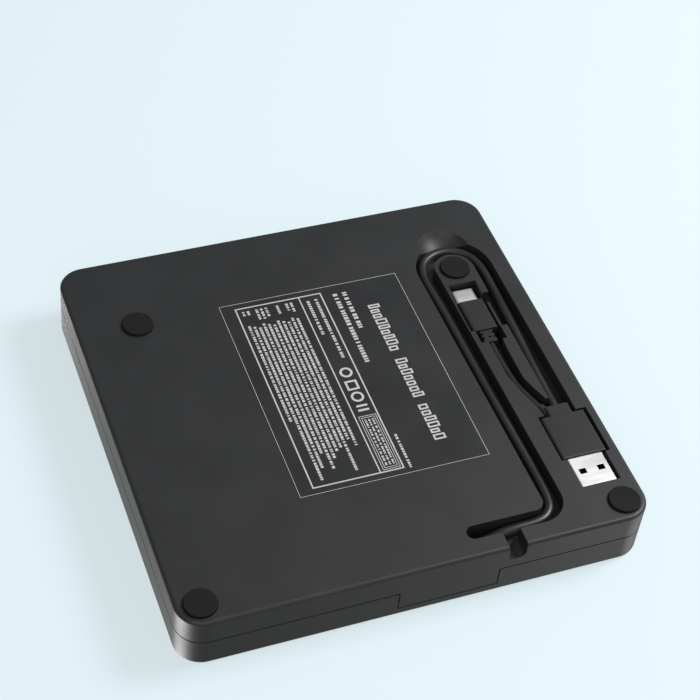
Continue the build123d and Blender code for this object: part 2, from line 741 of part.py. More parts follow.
def bridge_chips():
    z = z_board + 1.22
    y = pan_rear + 6.4
    chips = [block((-30, -23), (y, y + 6), (z, z + 0.9)),
             block((-20.3, -15.3), (y + 0.5, y + 3.7), (z, z + 1.2)),
             block((-6, -4.4), (y + 1, y + 1.8), (z, z + 0.8)),
             block((-6, -4.4), (y + 4, y + 4.8), (z, z + 0.8))]
    return Compound(children=chips)


def cord_header():
    z = z_board + 1.22
    y = cord_route[0][1]
    body = block(header_x, (y - 2.6, y + 2.6), (z, z + 2.8))
    for k in range(4):
        body -= rod_x((header_x[1] - 1.5, header_x[1] + 1), y - 1.5 + k, z_board + 2.6, 0.42)
    return body


# ------------------------------------------------------------ tray and what rides on it
def tray():
    """Moulded tray: skirt, deck with the disc recess, slot for the pick-up, hub hole."""
    y = (pan_front, tray_rear)
    body = block((-tray_half, tray_half), y, (z_tray, z_tray_top))
    inside = tray_half - skirt_wall
    body -= block((-inside, inside), (y[0] + 1.8, y[1] + 1), (z_tray - 1, z_deck))
    body -= column(0, disc_y, (z_recess, z_tray_top + 1), disc_radius + 0.4)
    body -= block((-tray_half - 1, tray_half + 1), (disc_y - 30, disc_y + 30),
                  (z_recess, z_tray_top + 1))
    body -= column(0, disc_y, (z_deck - 1, z_recess + 1), 17.0)
    slot = block((10, 66), (-sled_half - 0.5, sled_half + 0.5), (z_deck - 1, z_recess + 1))
    body -= on_sled_axis(slot)
    body -= column(0, disc_y, (z_recess - 0.35, z_recess + 1), 27.0) - column(0, disc_y, (0, 30), 19.0)
    groove = (z_rail - rail_play, z_rail + rail_height + rail_play)
    for side in (-1, 1):
        inner = side * (tray_half - 1.5)
        x = sorted((inner, side * (tray_half + 1)))
        body -= block(x, (y[0] + 3.6, y[1] + 1), groove)
    body += block((-54, -46), (pusher_y - 1.8, pusher_y - 0.3), (z_tray, z_deck + 0.2))
    hole = (button_x - 1.8, button_x + 1.8)
    return body - block(hole, (y[0] - 1, y[0] + 3), (button_z - 1.0, button_z + 1.0))


button_x = 42.0
led_x = 53.0
pin_hole_x = 31.0
button_z = z_pan + 4.6
button_width = 12.0
button_height = 2.6


def tray_bezel():
    y = (front + bezel_inset, pan_front - 0.02)
    body = block((-bezel_half, bezel_half), y, (z_bezel, z_bezel_top))
    body = fillet(body.faces().sort_by(Axis.Y)[0].edges(), 0.7)
    w, h = button_width / 2, button_height / 2
    window = block((button_x - w - 0.15, button_x + w + 0.15), (y[0] - 1, y[1] + 1),
                   (button_z - h - 0.15, button_z + h + 0.15))
    back = block((button_x - w - 1.0, button_x + w + 1.0), (y[0] + 1.6, y[1] + 1),
                 (button_z - h - 0.9, button_z + h + 0.9))
    body = body - window - back
    body -= rod_y(led_x, (y[0] - 1, y[1] + 1), button_z, 1.0)
    return body - rod_y(pin_hole_x, (y[0] - 1, y[1] + 1), button_z, 0.6)


def eject_button():
    y = front + bezel_inset
    w, h = button_width / 2, button_height / 2
    cap = block((button_x - w, button_x + w), (y + 0.1, y + 1.7), (button_z - h, button_z + h))
    cap = fillet(cap.faces().sort_by(Axis.Y)[0].edges(), 0.3)
    flange = block((button_x - w - 0.6, button_x + w + 0.6), (y + 1.65, y + 2.5),
                   (button_z - h - 0.5, button_z + h + 0.5))
    stem = block((button_x - 1.2, button_x + 1.2), (y + 2.4, pan_front + 1.0),
                 (button_z - 0.7, button_z + 0.7))
    return cap + flange + stem


def led_light_pipe():
    return rod_y(led_x, (front + bezel_inset + 0.05, pan_front - 0.05), button_z, 1.0 - snug)


def front_board():
    y = pan_front + 1.85
    return block((button_x - 9, button_x + 9), (y + 0.02, y + 0.8), (z_tray + 0.4, z_deck - 0.3))


def eject_switch():
    """Tact switch behind the tray's front wall, inside its hole."""
    y = (pan_front + 1.55, pan_front + 1.85)
    return block((button_x - 1.5, button_x + 1.5), y, (button_z - 0.9, button_z + 0.9))


z_plate = z_tray + 0.05
plate_wall = 0.5
z_rods = z_plate + plate_wall + 1.75
inside_half = tray_half - skirt_wall - 0.4
damper_places = ((-14.0, -9.0), (-14.0, 14.0), (40.0, -17.0))


def traverse_plate():
    """Steel frame that carries the spindle motor, the guide rods and the sled's drive."""
    flat = block((-18, 67.4), (-19.8, 21.4), (z_plate, z_plate + plate_wall))
    flat -= block((14.6, 66), (-sled_half - 0.4, sled_half + 0.4), (z_plate - 1, z_plate + 2))
    for along in ((10.9, 12.6), (66.2, 67.4)):
        for side in (-1, 1):
            y = side * rod_spread
            flat += block(along, (y - 1.7, y + 1.7), (z_plate, z_rods + 1.5))
    flat += block((58.0, 59.6), (screw_offset - 1.9, screw_offset + 1.9), (z_plate, z_rods + 1.5))
    for side in (-1, 1):
        flat -= rod_x((10, 68.5), side * rod_spread, z_rods, rod_radius + snug)
    flat -= rod_x((56, 62), screw_offset, z_rods, screw_radius + run_fit)
    flat -= column(0, 0, (z_plate - 1, z_plate + 3), 1.9)
    for x, y in damper_places:
        flat -= column(x, y, (z_plate - 1, z_plate + 3), 0.9)
    room = block((-inside_half, inside_half), (pan_front + 3.4, disc_y + 26), (0, 40))
    return on_sled_axis(flat) & room


def traverse_dampers():
    z = (z_plate + plate_wall + 0.02, z_deck - 0.02)
    made = []
    for x, y in damper_places:
        grommet = column(x, y, z, 2.0) - column(x, y, (z[0] - 1, z[1] + 1), 0.8)
        made.append(on_sled_axis(grommet))
    return Compound(children=made)


def guide_rods():
    made = []
    for side in (-1, 1):
        made.append(on_sled_axis(rod_x((11.0, 67.2), side * rod_spread, z_rods, rod_radius)))
    return Compound(children=made)


def motor_base():
    z = (z_plate + plate_wall + 0.02, z_plate + plate_wall + 1.0)
    base = column(0, disc_y, z, 12.4)
    base += column(0, disc_y, (z[0], z_recess - 1.1), 2.9)
    return base - column(0, disc_y, (z[0] - 0.1, z_recess), shaft_radius + run_fit)


shaft_radius = 1.5
rotor_radius = 13.2


def motor_stator():
    """Laminated ring with nine wound teeth, pressed on the bearing sleeve."""
    z = (z_plate + plate_wall + 1.02, z_recess - 1.3)
    core = column(0, disc_y, z, 5.0)
    for k in range(9):
        tooth = block((4.6, 11.2), (-0.9, 0.9), z) + block((10.2, 11.2), (-2.4, 2.4), z)
        core += Pos(0, disc_y, 0) * Rot(0, 0, 40 * k) * tooth
    return core - column(0, disc_y, (z[0] - 1, z[1] + 1), 2.9 + snug)


def spindle_rotor():
    """Rotor cup with its shaft; it spins over the stator."""
    top = z_disc - 0.9
    cup = column(0, disc_y, (z_plate + plate_wall + 1.4, top), rotor_radius)
    cup -= column(0, disc_y, (z_plate, top - 0.6), rotor_radius - 1.2)
    shaft = column(0, disc_y, (z_plate + plate_wall + 0.1, top), shaft_radius)
    return cup + shaft


def turntable():
    """Disc platform with the centring boss that goes through the disc's hole."""
    platform = column(0, disc_y, (z_disc - 0.88, z_disc - 0.25), 15.0)
    seat = column(0, disc_y, (z_disc - 0.88, z_disc), 9.6)
    boss = column(0, disc_y, (z_disc - 0.3, z_tray_top + 0.1), hub_radius)
    boss = chamfer(boss.faces().sort_by(Axis.Z)[-1].edges(), 0.4)
    body = platform + seat + boss
    for k in range(3):
        inner = hub_radius - ball_inset - ball_radius - 0.1
        socket = rod_x((inner, hub_radius + 0.5), 0, z_disc + 0.6, ball_radius + run_fit)
        body -= Pos(0, disc_y, 0) * Rot(0, 0, 120 * k + 30) * socket
    return body


hub_radius = disc_hole_radius - 0.05
ball_radius = 0.7
ball_inset = 0.68


def turntable_ring():
    """Rubber ring that the disc rests on."""
    ring = column(0, disc_y, (z_disc - 0.24, z_disc), 14.6)
    return ring - column(0, disc_y, (z_disc - 1, z_disc + 1), 9.65)


def clamp_balls():
    """Three sprung steel balls, drawn pressed in as they are inside a disc's hole."""
    ball = Pos(hub_radius - ball_inset, 0, z_disc + 0.6) * Sphere(ball_radius)
    made = [Pos(0, disc_y, 0) * Rot(0, 0, 120 * k + 30) * ball for k in range(3)]
    return Compound(children=made)


def pickup_sled():
    """Die-cast pick-up body on its two rods, hollowed towards the spindle motor."""
    x = (lens_start - 8.5, lens_start - 8.5 + sled_length)
    z = (z_plate + plate_wall + 0.3, z_deck - 0.2)
    body = block(x, (-sled_half, sled_half), z)
    body = fillet(body.edges().filter_by(Axis.Z), 1.2)
    body -= column(0, 0, (0, 40), rotor_radius + 1.6)
    for side in (-1, 1):
        body -= rod_x((0, 80), side * rod_spread, z_rods, rod_radius + run_fit)
    nut_y = (sled_half - 0.2, screw_offset - screw_radius - 0.4)
    nut = block((x[0] + 3, x[0] + 9), nut_y, (z_rods - 1.0, z_rods + 1.0))
    return on_sled_axis(body + nut)


def lens_actuator():
    z = (z_deck - 0.18, z_recess - 0.3)
    frame = block((lens_start - 5, lens_start + 6), (-6.6, 6.6), z)
    frame -= block((lens_start - 3.4, lens_start + 3.4), (-5.2, 5.2), (z[1] - 0.5, z[1] + 1))
    holder = block((lens_start - 2.9, lens_start + 2.9), (-4.4, 4.4), (z[1] - 0.6, z[1]))
    return on_sled_axis(frame + holder - column(lens_start, 0, (z[1] - 0.3, z[1] + 1), 2.0 + snug))


def objective_lens():
    z = (z_recess - 0.6, z_recess - 0.1)
    lens = column(lens_start, 0, z, 2.0)
    return on_sled_axis(fillet(lens.faces().sort_by(Axis.Z)[-1].edges(), 0.3))


def lead_screw():
    return on_sled_axis(rod_x((sled_motor_x[1] + 0.3, 59.4), screw_offset, z_rods, screw_radius))


sled_motor_x = (3.0, 16.6)


def sled_motor():
    x = sled_motor_x
    body = block(x, (13.4, 21.2), (z_plate + plate_wall + 0.02, z_deck - 0.1))
    return on_sled_axis(fillet(body.edges().filter_by(Axis.X), 1.4))


latch_pivot = (latch_post[0] - 5.2, latch_post[1] + 14.0)


def latch_lever():
    """Hooked lever, drawn released; swung by latch_swing it stands behind the pan's post."""
    px, py = latch_pivot
    hook_y = latch_post[1] + 1.6
    z = (z_tray + 0.3, z_tray + 1.9)
    arm = block((px - 1.2, px + 1.2), (hook_y, py), z) + column(px, py, z, 2.6)
    hook = block((px, px + 3.4), (hook_y, hook_y + 1.6), z)
    return arm + hook - column(px, py, (0, 40), 1.0 + run_fit)


def latch_pin():
    px, py = latch_pivot
    return column(px, py, (z_tray + 0.1, z_deck - 0.02), 1.0)


def latch_solenoid():
    px, py = latch_pivot
    return block((px - 10.0, px - 3.2), (py - 12.0, py - 2.0), (z_tray + 0.2, z_deck - 0.1))


# ------------------------------------------------------------ write every node
parts = {
    "bottom_shell": bottom_shell(),
    "top_cover": top_cover(),
    "case_screws": case_screws(),
    "rating_label": label(),
    "cord_relief": cord_relief(),
    "usb_cord": tube(cord_route, cord_radius, "usb_cord"),
    "tether_cord": tube(tether_route, tether_radius, "tether_cord"),
    "inner_leads": inner_leads(),
    "usb_a_overmould": usb_a_overmould(),
    "usb_a_shell": usb_a_shell(),
    "usb_a_tongue": usb_a_tongue(),
    "usb_c_overmould": usb_c_overmould(),
    "usb_c_shell": usb_c_shell(),
    "usb_c_tongue": usb_c_tongue(),
    "drive_pan": drive_pan(),
    "drive_cover": drive_cover(),
    "cover_screws": cover_screws(),
    "drive_brackets": drive_brackets(),
    "bay_screws": bay_screws(),
    "left_rail_guide": rail_guide(-1),
    "right_rail_guide": rail_guide(1),
    "left_slide_rail": slide_rail(-1),
    "right_slide_rail": slide_rail(1),
    "main_board": main_board(),
    "main_board_chips": main_board_chips(),
    "tray_flex": tray_flex(),
    "sata_socket": sata_socket(),
    "eject_pusher": eject_pusher(),
    "eject_spring": eject_spring(),
    "bridge_board": bridge_board(),
    "sata_plug": sata_plug(),
    "bridge_chips": bridge_chips(),
    "cord_header": cord_header(),
    "tray": tray(),
    "tray_bezel": tray_bezel(),
    "eject_button": eject_button(),
    "led_light_pipe": led_light_pipe(),
    "front_board": front_board(),
    "eject_switch": eject_switch(),
    "traverse_plate": traverse_plate(),
    "traverse_dampers": traverse_dampers(),
    "guide_rods": guide_rods(),
    "motor_base": motor_base(),
    "motor_stator": motor_stator(),
    "spindle_rotor": spindle_rotor(),
    "turntable": turntable(),
    "turntable_ring": turntable_ring(),
    "clamp_balls": clamp_balls(),
    "pickup_sled": pickup_sled(),
    "lens_actuator": lens_actuator(),
    "objective_lens": objective_lens(),
    "lead_screw": lead_screw(),
    "sled_motor": sled_motor(),
    "latch_lever": latch_lever(),
    "latch_pin": latch_pin(),
    "latch_solenoid": latch_solenoid(),
}
for name, (x, y) in foot_places.items():
    parts[name] = foot(x, y)
for name, shape in parts.items():
    save(name, shape)
print(len(parts), "nodes; housing", case_width, "x", case_depth, "x", z_top)
print("travels: tray", tray_travel, "sled", sled_travel, "pusher", pusher_travel,
      "button", button_travel, "latch", latch_swing, "degrees")
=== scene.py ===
# %% [markdown]
# # An external optical drive that keeps its own cord
# The drive is a flat box of two plastic shells. Its underside has a groove in which the cord
# lies, round a post and back to its two plugs. The measured model comes from the frame, so this
# script only adds finishes, small details, a camera and light. The drive stands on its feet at
# z = 0, with the tray towards -Y and the cord store on the +X side of the underside.

# %% Load the frame
import json
import random
from math import radians

import bpy
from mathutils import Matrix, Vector


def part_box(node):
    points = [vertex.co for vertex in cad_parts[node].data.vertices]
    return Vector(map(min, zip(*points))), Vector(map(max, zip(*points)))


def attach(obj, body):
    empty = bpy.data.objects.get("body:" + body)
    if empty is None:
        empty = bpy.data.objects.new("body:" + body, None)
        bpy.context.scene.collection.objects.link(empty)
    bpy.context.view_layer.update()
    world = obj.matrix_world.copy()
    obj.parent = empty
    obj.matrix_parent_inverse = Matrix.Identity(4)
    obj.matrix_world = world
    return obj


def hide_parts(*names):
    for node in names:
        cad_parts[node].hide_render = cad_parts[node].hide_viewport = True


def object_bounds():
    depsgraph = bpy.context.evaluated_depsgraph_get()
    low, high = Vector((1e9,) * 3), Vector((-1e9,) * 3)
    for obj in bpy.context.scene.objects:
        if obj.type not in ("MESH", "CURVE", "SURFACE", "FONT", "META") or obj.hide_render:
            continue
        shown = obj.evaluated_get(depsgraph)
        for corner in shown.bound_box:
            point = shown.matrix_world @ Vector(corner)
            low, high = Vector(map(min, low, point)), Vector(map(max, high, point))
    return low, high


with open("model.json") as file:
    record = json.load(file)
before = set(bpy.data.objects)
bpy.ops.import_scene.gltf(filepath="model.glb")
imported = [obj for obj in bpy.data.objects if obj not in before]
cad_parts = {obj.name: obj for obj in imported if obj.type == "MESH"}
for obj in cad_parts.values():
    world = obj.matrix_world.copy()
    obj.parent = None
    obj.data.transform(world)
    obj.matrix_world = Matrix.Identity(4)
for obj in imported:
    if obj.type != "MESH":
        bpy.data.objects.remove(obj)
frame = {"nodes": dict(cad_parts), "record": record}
cad_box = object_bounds()
nodes = frame["nodes"]
scene = bpy.context.scene
scene.view_settings.view_transform = "Standard"

# %% [markdown]
# ## The camera
# The best side of this drive is its underside, so the camera stands below the floor, behind the
# drive and to its left, and looks up. With the camera turned by half a turn about its line of
# sight the drive seems to lie on its lid, as it does on a desk when the cord is being put away.
# A long lens keeps the edges nearly parallel.

# %% Camera
camera_data = bpy.data.cameras.new("camera")
camera_data.lens = 94.75
camera_data.sensor_width = 36.0
camera_data.clip_start = 0.02
camera_data.clip_end = 5.0
camera = bpy.data.objects.new("camera", camera_data)
camera.location = (-0.1640, 0.3512, -0.4261)
camera.rotation_euler = (radians(-136.814), radians(4.844), radians(19.998))
scene.collection.objects.link(camera)
scene.camera = camera

# %% [markdown]
# ## The two cords
# A cord is a tube round a smooth line. A NURBS curve of low order keeps close to its control
# points and never kinks, so each cord is one such spline with a round bevel. The long cord
# leaves the housing at a strain relief, lies along the groove, turns round the post and ends in
# the large plug. The short tether joins the small plug to the large one.

# %% Cords
CORD_POINTS = [
    (0.0170, 0.0647, 0.0072), (0.0205, 0.0647, 0.0072), (0.0275, 0.0646, 0.0042),
    (0.0394, 0.0643, 0.0042), (0.0435, 0.0622, 0.0042), (0.0457, 0.0582, 0.0042),
    (0.0459, 0.0460, 0.0042), (0.0452, 0.0200, 0.0042), (0.0448, -0.0060, 0.0042),
    (0.0446, -0.0270, 0.0042), (0.0436, -0.0450, 0.0042), (0.0499, -0.0515, 0.0042),
    (0.0589, -0.0515, 0.0042), (0.0652, -0.0451, 0.0042), (0.0649, -0.0270, 0.0042),
    (0.0639, -0.0040, 0.0042), (0.0631, 0.0120, 0.0042), (0.0631, 0.0244, 0.0042),
]
TETHER_POINTS = [
    (0.0583, 0.0228, 0.0042), (0.0555, 0.0146, 0.0042), (0.0544, 0.0080, 0.0042),
    (0.0540, 0.0005, 0.0042), (0.0540, -0.0068, 0.0042),
]
CORD_DIAMETER = 0.0032
TETHER_DIAMETER = 0.0028
KNOT_RADIUS = 0.001


def cord_curve(name, points, diameter):
    """One open NURBS spline with a round section, its points' own radius a millimetre."""
    curve = bpy.data.curves.new(name, "CURVE")
    curve.dimensions = "3D"
    spline = curve.splines.new("NURBS")
    spline.points.add(len(points) - 1)
    for knot, place in zip(spline.points, points):
        knot.co = (*place, 1.0)
        knot.radius = KNOT_RADIUS
    spline.order_u = 3
    spline.use_endpoint_u = True
    spline.resolution_u = 14
    curve.bevel_depth = diameter / 2 / KNOT_RADIUS
    curve.bevel_resolution = 7
    curve.use_fill_caps = True
    piece = bpy.data.objects.new(name, curve)
    scene.collection.objects.link(piece)
    return piece


main_cord = cord_curve("main_cord", CORD_POINTS, CORD_DIAMETER)
tether = cord_curve("tether", TETHER_POINTS, TETHER_DIAMETER)
for piece, node in ((main_cord, "usb_cord"), (tether, "tether_cord")):
    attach(piece, "housing")
    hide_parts(node)

# %% [markdown]
# ## Shader building blocks
# Every finish here is a Principled shader fed by a few textures. Moulded plastic is never quite
# even: its tool is etched with a fine grain, and its sheen varies a little from place to place.
# That pair, a height and a tone, is wanted by nearly every material, so it is built once as a
# node group. Coordinates are each piece's own, in metres, so the grain has its real size.

# %% Surface grain group
def add_node(tree, kind, **inputs):
    node = tree.nodes.new(kind)
    for name, value in inputs.items():
        node.inputs[name.replace("_", " ")].default_value = value
    return node


def make_grain_group():
    """Group: a fine etched height, and a slow tone between 0 and 1."""
    group = bpy.data.node_groups.new("surface_grain", "ShaderNodeTree")
    for name, start in (("Grain Size", 0.0004), ("Tone Size", 0.02), ("Stretch", 1.0)):
        socket = group.interface.new_socket(name, in_out="INPUT", socket_type="NodeSocketFloat")
        socket.default_value = start
    for name in ("Height", "Tone"):
        group.interface.new_socket(name, in_out="OUTPUT", socket_type="NodeSocketFloat")
    start = group.nodes.new("NodeGroupInput")
    end = group.nodes.new("NodeGroupOutput")
    place = group.nodes.new("ShaderNodeTexCoord")
    stretch = group.nodes.new("ShaderNodeCombineXYZ")
    stretch.inputs["X"].default_value = 1.0
    stretch.inputs["Z"].default_value = 1.0
    stretched = group.nodes.new("ShaderNodeVectorMath")
    stretched.operation = "MULTIPLY"
    group.links.new(start.outputs["Stretch"], stretch.inputs["Y"])
    group.links.new(place.outputs["Object"], stretched.inputs[0])
    group.links.new(stretch.outputs["Vector"], stretched.inputs[1])
    for size, out, detail in (("Grain Size", "Height", 3.0), ("Tone Size", "Tone", 4.0)):
        scale = group.nodes.new("ShaderNodeMath")
        scale.operation = "DIVIDE"
        scale.inputs[0].default_value = 1.0
        group.links.new(start.outputs[size], scale.inputs[1])
        noise = group.nodes.new("ShaderNodeTexNoise")
        noise.inputs["Detail"].default_value = detail
        group.links.new(stretched.outputs["Vector"], noise.inputs["Vector"])
        group.links.new(scale.outputs["Value"], noise.inputs["Scale"])
        group.links.new(noise.outputs["Fac"], end.inputs[out])
    return group


grain_group = make_grain_group()
print("made the group", grain_group.name)

# %% [markdown]
# ## A material maker
# The maker joins the group to a Principled shader: the tone shifts the colour and the roughness
# a little, and the height drives a Bump node. The Bevel node softens the light on sharp edges,
# as the small radius of a moulded or folded edge does. Plain numbers stay on the shader itself.

# %% Material maker
def finish(name, colour, rough, metal=0.0, shift=0.12, rough_shift=0.06, grain=0.0004,
           depth=0.00001, tone=0.02, stretch=1.0, edge=0.00015, **plain):
    """Node material; colour is linear, sizes are metres."""
    material = bpy.data.materials.new(name)
    material.use_nodes = True
    tree = material.node_tree
    shader = tree.nodes["Principled BSDF"]
    shader.inputs["Metallic"].default_value = metal
    for socket, value in plain.items():
        shader.inputs[socket.replace("_", " ")].default_value = value
    group = tree.nodes.new("ShaderNodeGroup")
    group.node_tree = grain_group
    group.inputs["Grain Size"].default_value = grain
    group.inputs["Tone Size"].default_value = tone
    group.inputs["Stretch"].default_value = stretch
    ramp = tree.nodes.new("ShaderNodeValToRGB")
    ramp.color_ramp.elements[0].position = 0.3
    ramp.color_ramp.elements[1].position = 0.7
    ramp.color_ramp.elements[0].color = (*[c * (1 - shift) for c in colour], 1.0)
    ramp.color_ramp.elements[1].color = (*[c * (1 + shift) for c in colour], 1.0)
    spread = tree.nodes.new("ShaderNodeMapRange")
    spread.inputs["From Min"].default_value = 0.3
    spread.inputs["From Max"].default_value = 0.7
    spread.inputs["To Min"].default_value = rough - rough_shift
    spread.inputs["To Max"].default_value = rough + rough_shift
    bevel = tree.nodes.new("ShaderNodeBevel")
    bevel.samples = 4
    bevel.inputs["Radius"].default_value = edge
    bump = tree.nodes.new("ShaderNodeBump")
    bump.inputs["Distance"].default_value = depth
    links = tree.links
    links.new(group.outputs["Tone"], ramp.inputs["Fac"])
    links.new(group.outputs["Tone"], spread.inputs["Value"])
    links.new(group.outputs["Height"], bump.inputs["Height"])
    links.new(bevel.outputs["Normal"], bump.inputs["Normal"])
    links.new(ramp.outputs["Color"], shader.inputs["Base Color"])
    links.new(spread.outputs["Result"], shader.inputs["Roughness"])
    links.new(bump.outputs["Normal"], shader.inputs["Normal"])
    return material


FINISHES = {
    "housing_plastic": finish("etched_black_plastic", (0.0130, 0.0135, 0.0145), 0.50, depth=0.00002,
                              grain=0.00035, rough_shift=0.04),
    "bezel_plastic": finish("bezel_plastic", (0.013, 0.0135, 0.0145), 0.38, depth=0.000008),
    "screw_steel": finish("plated_screws", (0.42, 0.42, 0.43), 0.30, metal=1.0),
    "label_film": finish("label_film", (0.012, 0.0125, 0.0135), 0.42, depth=0.000004),
    "foot_rubber": finish("foot_rubber", (0.0040, 0.0040, 0.0045), 0.80, depth=0.00003,
                          grain=0.0003, Specular_IOR_Level=0.3),
    "cord_jacket": finish("cord_jacket", (0.012, 0.012, 0.0125), 0.40, depth=0.000006),
    "lead_insulation": finish("lead_insulation", (0.30, 0.03, 0.025), 0.45),
    "plug_overmould": finish("plug_overmould", (0.0095, 0.0098, 0.0105), 0.46, depth=0.000010),
    "plug_metal": finish("plug_nickel", (0.88, 0.88, 0.89), 0.42, metal=1.0, shift=0.04,
                         grain=0.0005, depth=0.000003, stretch=6.0),
    "plug_insulator": finish("plug_insulator", (0.010, 0.010, 0.011), 0.45),
    "sheet_steel": finish("zinc_plated_sheet", (0.55, 0.56, 0.57), 0.34, metal=1.0, shift=0.10,
                          grain=0.0012, depth=0.000004),
    "acetal": finish("natural_acetal", (0.62, 0.61, 0.57), 0.42, shift=0.05),
    "circuit_board": finish("solder_mask", (0.010, 0.085, 0.030), 0.30, shift=0.25, tone=0.003),
    "chip_resin": finish("chip_resin", (0.012, 0.012, 0.013), 0.50),
    "flex_film": finish("polyimide_film", (0.35, 0.13, 0.02), 0.30, tone=0.004),
    "spring_steel": finish("ground_steel", (0.58, 0.58, 0.60), 0.20, metal=1.0, shift=0.05),
    "tray_plastic": finish("tray_plastic", (0.012, 0.0122, 0.013), 0.44, depth=0.000010),
    "light_pipe": finish("light_pipe", (0.55, 0.60, 0.56), 0.12, shift=0.04, Coat_Weight=0.5),
    "winding_copper": finish("enamelled_copper", (0.55, 0.20, 0.07), 0.30, metal=1.0,
                             grain=0.0003, depth=0.00004, stretch=0.2),
    "motor_steel": finish("drawn_steel_can", (0.46, 0.46, 0.47), 0.28, metal=1.0),
    "die_casting": finish("magnesium_casting", (0.42, 0.42, 0.43), 0.52, metal=0.9, depth=0.00002),
    "actuator_plastic": finish("actuator_plastic", (0.015, 0.015, 0.016), 0.45),
    "lens_glass": finish("coated_lens", (0.08, 0.16, 0.45), 0.06, shift=0.05, Coat_Weight=1.0),
}
slot_of = {entry["node"]: entry["material_slot"] for entry in frame["record"]["subparts"]}


def dress(piece, slot):
    """Give a piece one finish and nothing else."""
    piece.data.materials.clear()
    piece.data.materials.append(FINISHES[slot])


for name, node in nodes.items():
    dress(node, slot_of[name])
    node.data.name = name + "_mesh"
for piece in (main_cord, tether):
    dress(piece, "cord_jacket")
print("dressed", len(nodes), "nodes in", len(FINISHES), "finishes")

# %% [markdown]
# ## Modelling helpers
# New pieces are made as by hand: a primitive at its size and place, shaped in edit mode, then
# finished by a modifier. Everything is deselected first, because the loaded nodes are selected.
# What repeats, such as a printed dash, is modelled once and copied.

# %% Helpers
MM = 0.001


def clear_selection():
    """Leave edit mode and select nothing."""
    if bpy.context.object and bpy.context.object.mode != "OBJECT":
        bpy.ops.object.mode_set(mode="OBJECT")
    bpy.ops.object.select_all(action="DESELECT")


def activate(*pieces):
    """Select these pieces only, the first one active."""
    clear_selection()
    for piece in pieces:
        piece.select_set(True)
    bpy.context.view_layer.objects.active = pieces[0]


def settle(name):
    """Name the active piece and write its place into its mesh."""
    piece = bpy.context.object
    piece.name = name
    piece.data.name = name + "_mesh"
    bpy.ops.object.transform_apply(location=True, rotation=True, scale=True)
    return piece


def round_edges(piece, width):
    """Apply a Bevel modifier; the width is in millimetres."""
    activate(piece)
    bevel = piece.modifiers.new("rounded_edges", "BEVEL")
    bevel.width = width * MM
    bevel.segments = 2
    bevel.limit_method = "ANGLE"
    bpy.ops.object.modifier_apply(modifier=bevel.name)


def slab(name, low, high, edge=0.0):
    """Box between two corners in millimetres, its edges rounded if edge is given."""
    clear_selection()
    centre = [(a + b) / 2 * MM for a, b in zip(low, high)]
    bpy.ops.mesh.primitive_cube_add(size=1, location=centre)
    bpy.context.object.scale = [(b - a) * MM for a, b in zip(low, high)]
    piece = settle(name)
    if edge:
        round_edges(piece, edge)
    return piece


def copy_moved(piece, name, scale, move):
    """Copy with its own mesh, scaled about the origin and then moved; millimetres."""
    twin = bpy.data.objects.new(name, piece.data.copy())
    scene.collection.objects.link(twin)
    for vertex in twin.data.vertices:
        vertex.co = [c * k + m * MM for c, k, m in zip(vertex.co, scale, move)]
    return twin


def join(name, pieces):
    """Make one piece of several."""
    activate(*pieces)
    bpy.ops.object.join()
    piece = bpy.context.object
    piece.name = name
    piece.data.name = name + "_mesh"
    return piece


def place_on(piece, body, material):
    """Hand a finished piece to its body, give it its material and shade it smooth by angle."""
    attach(piece, body)
    piece.data.materials.clear()
    piece.data.materials.append(material)
    activate(piece)
    bpy.ops.object.shade_smooth_by_angle(angle=radians(35))
    return piece


# %% [markdown]
# ## The rating label
# The label is a dark film with pale print. Lettering is left out, so a printed word is a row of
# plain dashes. The print is a raised layer, a fiftieth of a millimetre thick, so it stays crisp
# at any distance. One unit dash is modelled, a metre cube with its edges bevelled, and every
# stroke is a copy of it at its own size.

# %% The printed stroke
INK = finish("label_ink", (0.50, 0.50, 0.49), 0.60, shift=0.06, tone=0.002, edge=0.00002)
INK_HEIGHT = 0.02
film_low, film_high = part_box("rating_label")
ink_z = film_low.z / MM
unit_dash = slab("unit_dash", (-500, -500, -500), (500, 500, 500))
activate(unit_dash)
bpy.ops.object.mode_set(mode="EDIT")
bpy.ops.mesh.select_all(action="SELECT")
bpy.ops.mesh.bevel(offset=0.02, segments=1)
bpy.ops.object.mode_set(mode="OBJECT")
strokes = []
dice = random.Random(7)


def stroke(x, y):
    """Printed bar between two x values and two y values, in millimetres."""
    size = ((x[1] - x[0]) * MM, (y[1] - y[0]) * MM, INK_HEIGHT * MM)
    centre = ((x[0] + x[1]) / 2, (y[0] + y[1]) / 2, ink_z - INK_HEIGHT / 2)
    strokes.append(copy_moved(unit_dash, "stroke", size, centre))


def outline(x, y, width):
    """Printed frame of four strokes."""
    stroke((x[0], x[0] + width), y)
    stroke((x[1] - width, x[1]), y)
    stroke((x[0] + width, x[1] - width), (y[0], y[0] + width))
    stroke((x[0] + width, x[1] - width), (y[1] - width, y[1]))


def dashes(x, y, height, lengths, gap):
    """Row of dashes along Y, some gaps wider, like the letters and words of a printed line."""
    start = y[0]
    while start < y[1] - lengths[0]:
        length = min(dice.uniform(*lengths), y[1] - start)
        stroke((x - height / 2, x + height / 2), (start, start + length))
        start += length + gap * dice.choice((1, 1, 2.5))


# %% [markdown]
# The label is laid out on the drive's own X and Y, in millimetres. Its lines run along Y. A thin
# border goes round the film. A frame holds the small print on one side of a divider, and a
# strip with two lines, the marks and a double-lined box on the other.

